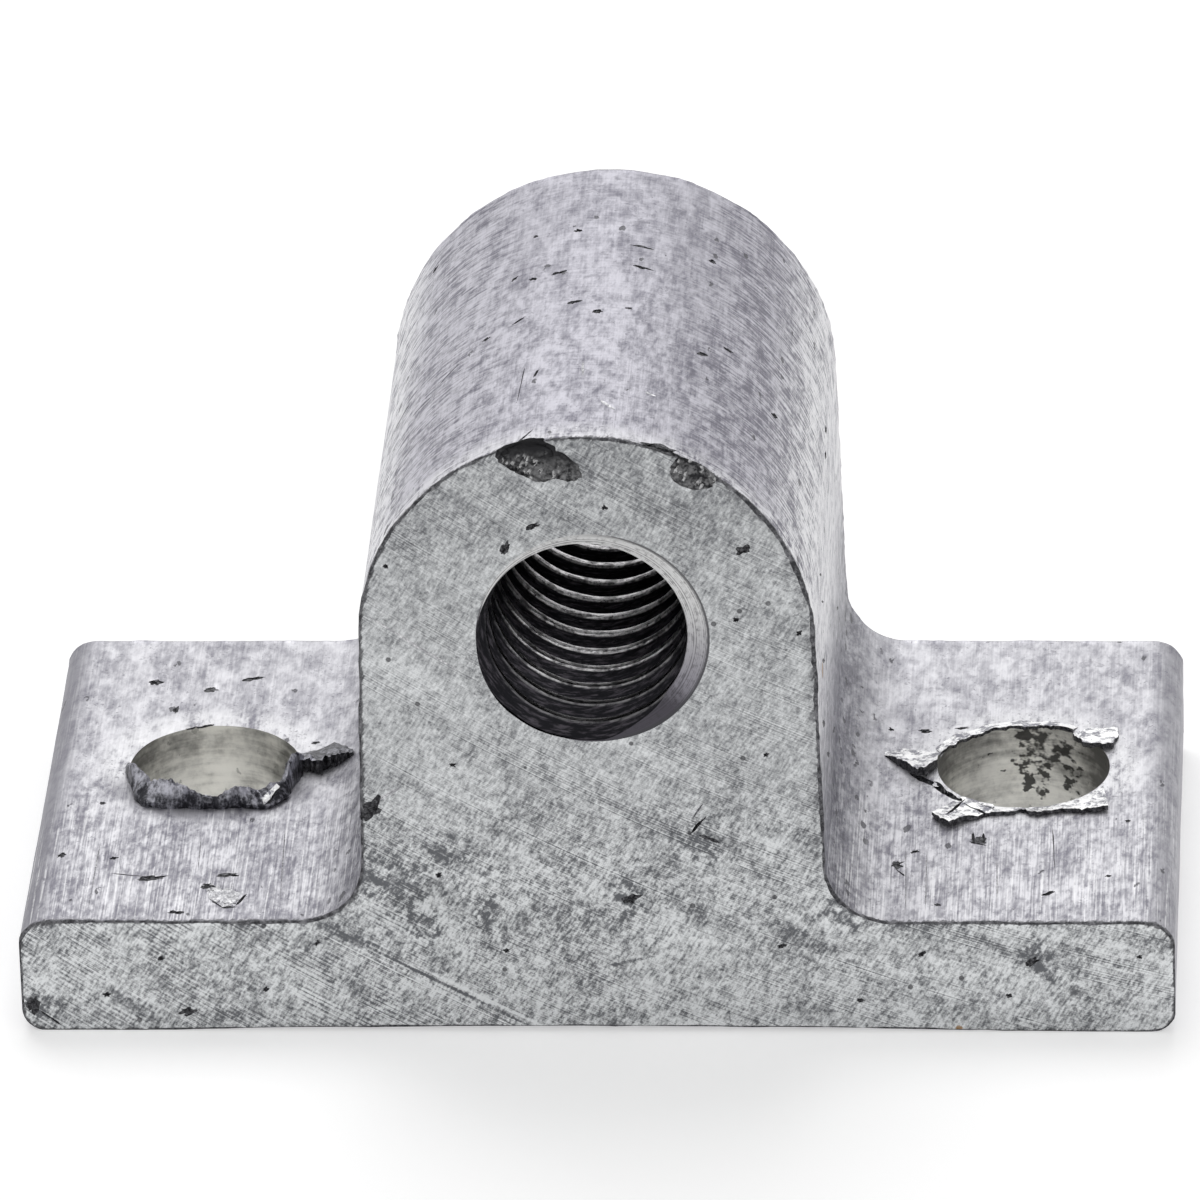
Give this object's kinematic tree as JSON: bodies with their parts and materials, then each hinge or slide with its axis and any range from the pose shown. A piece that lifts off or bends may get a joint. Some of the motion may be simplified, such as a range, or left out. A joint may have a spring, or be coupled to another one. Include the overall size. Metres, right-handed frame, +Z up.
{
  "type": "adjusting block",
  "caption": "Aluminium adjusting block: an arched boss with a tapped through hole on a wide foot that is drilled for a screw on each side.",
  "frame": {"origin": "middle of the foot's underside, halfway between the sawn faces", "axes": "+X across the foot, +Y along the tapped hole towards the back, +Z up from the foot to the boss"},
  "size_m": [0.039, 0.0204, 0.0225],
  "materials": {
    "aluminium": "plain extruded skin with sawn ends, unpolished"
  },
  "bodies": {
    "root": {"adjusting_block": "aluminium"}
  },
  "joints": []
}
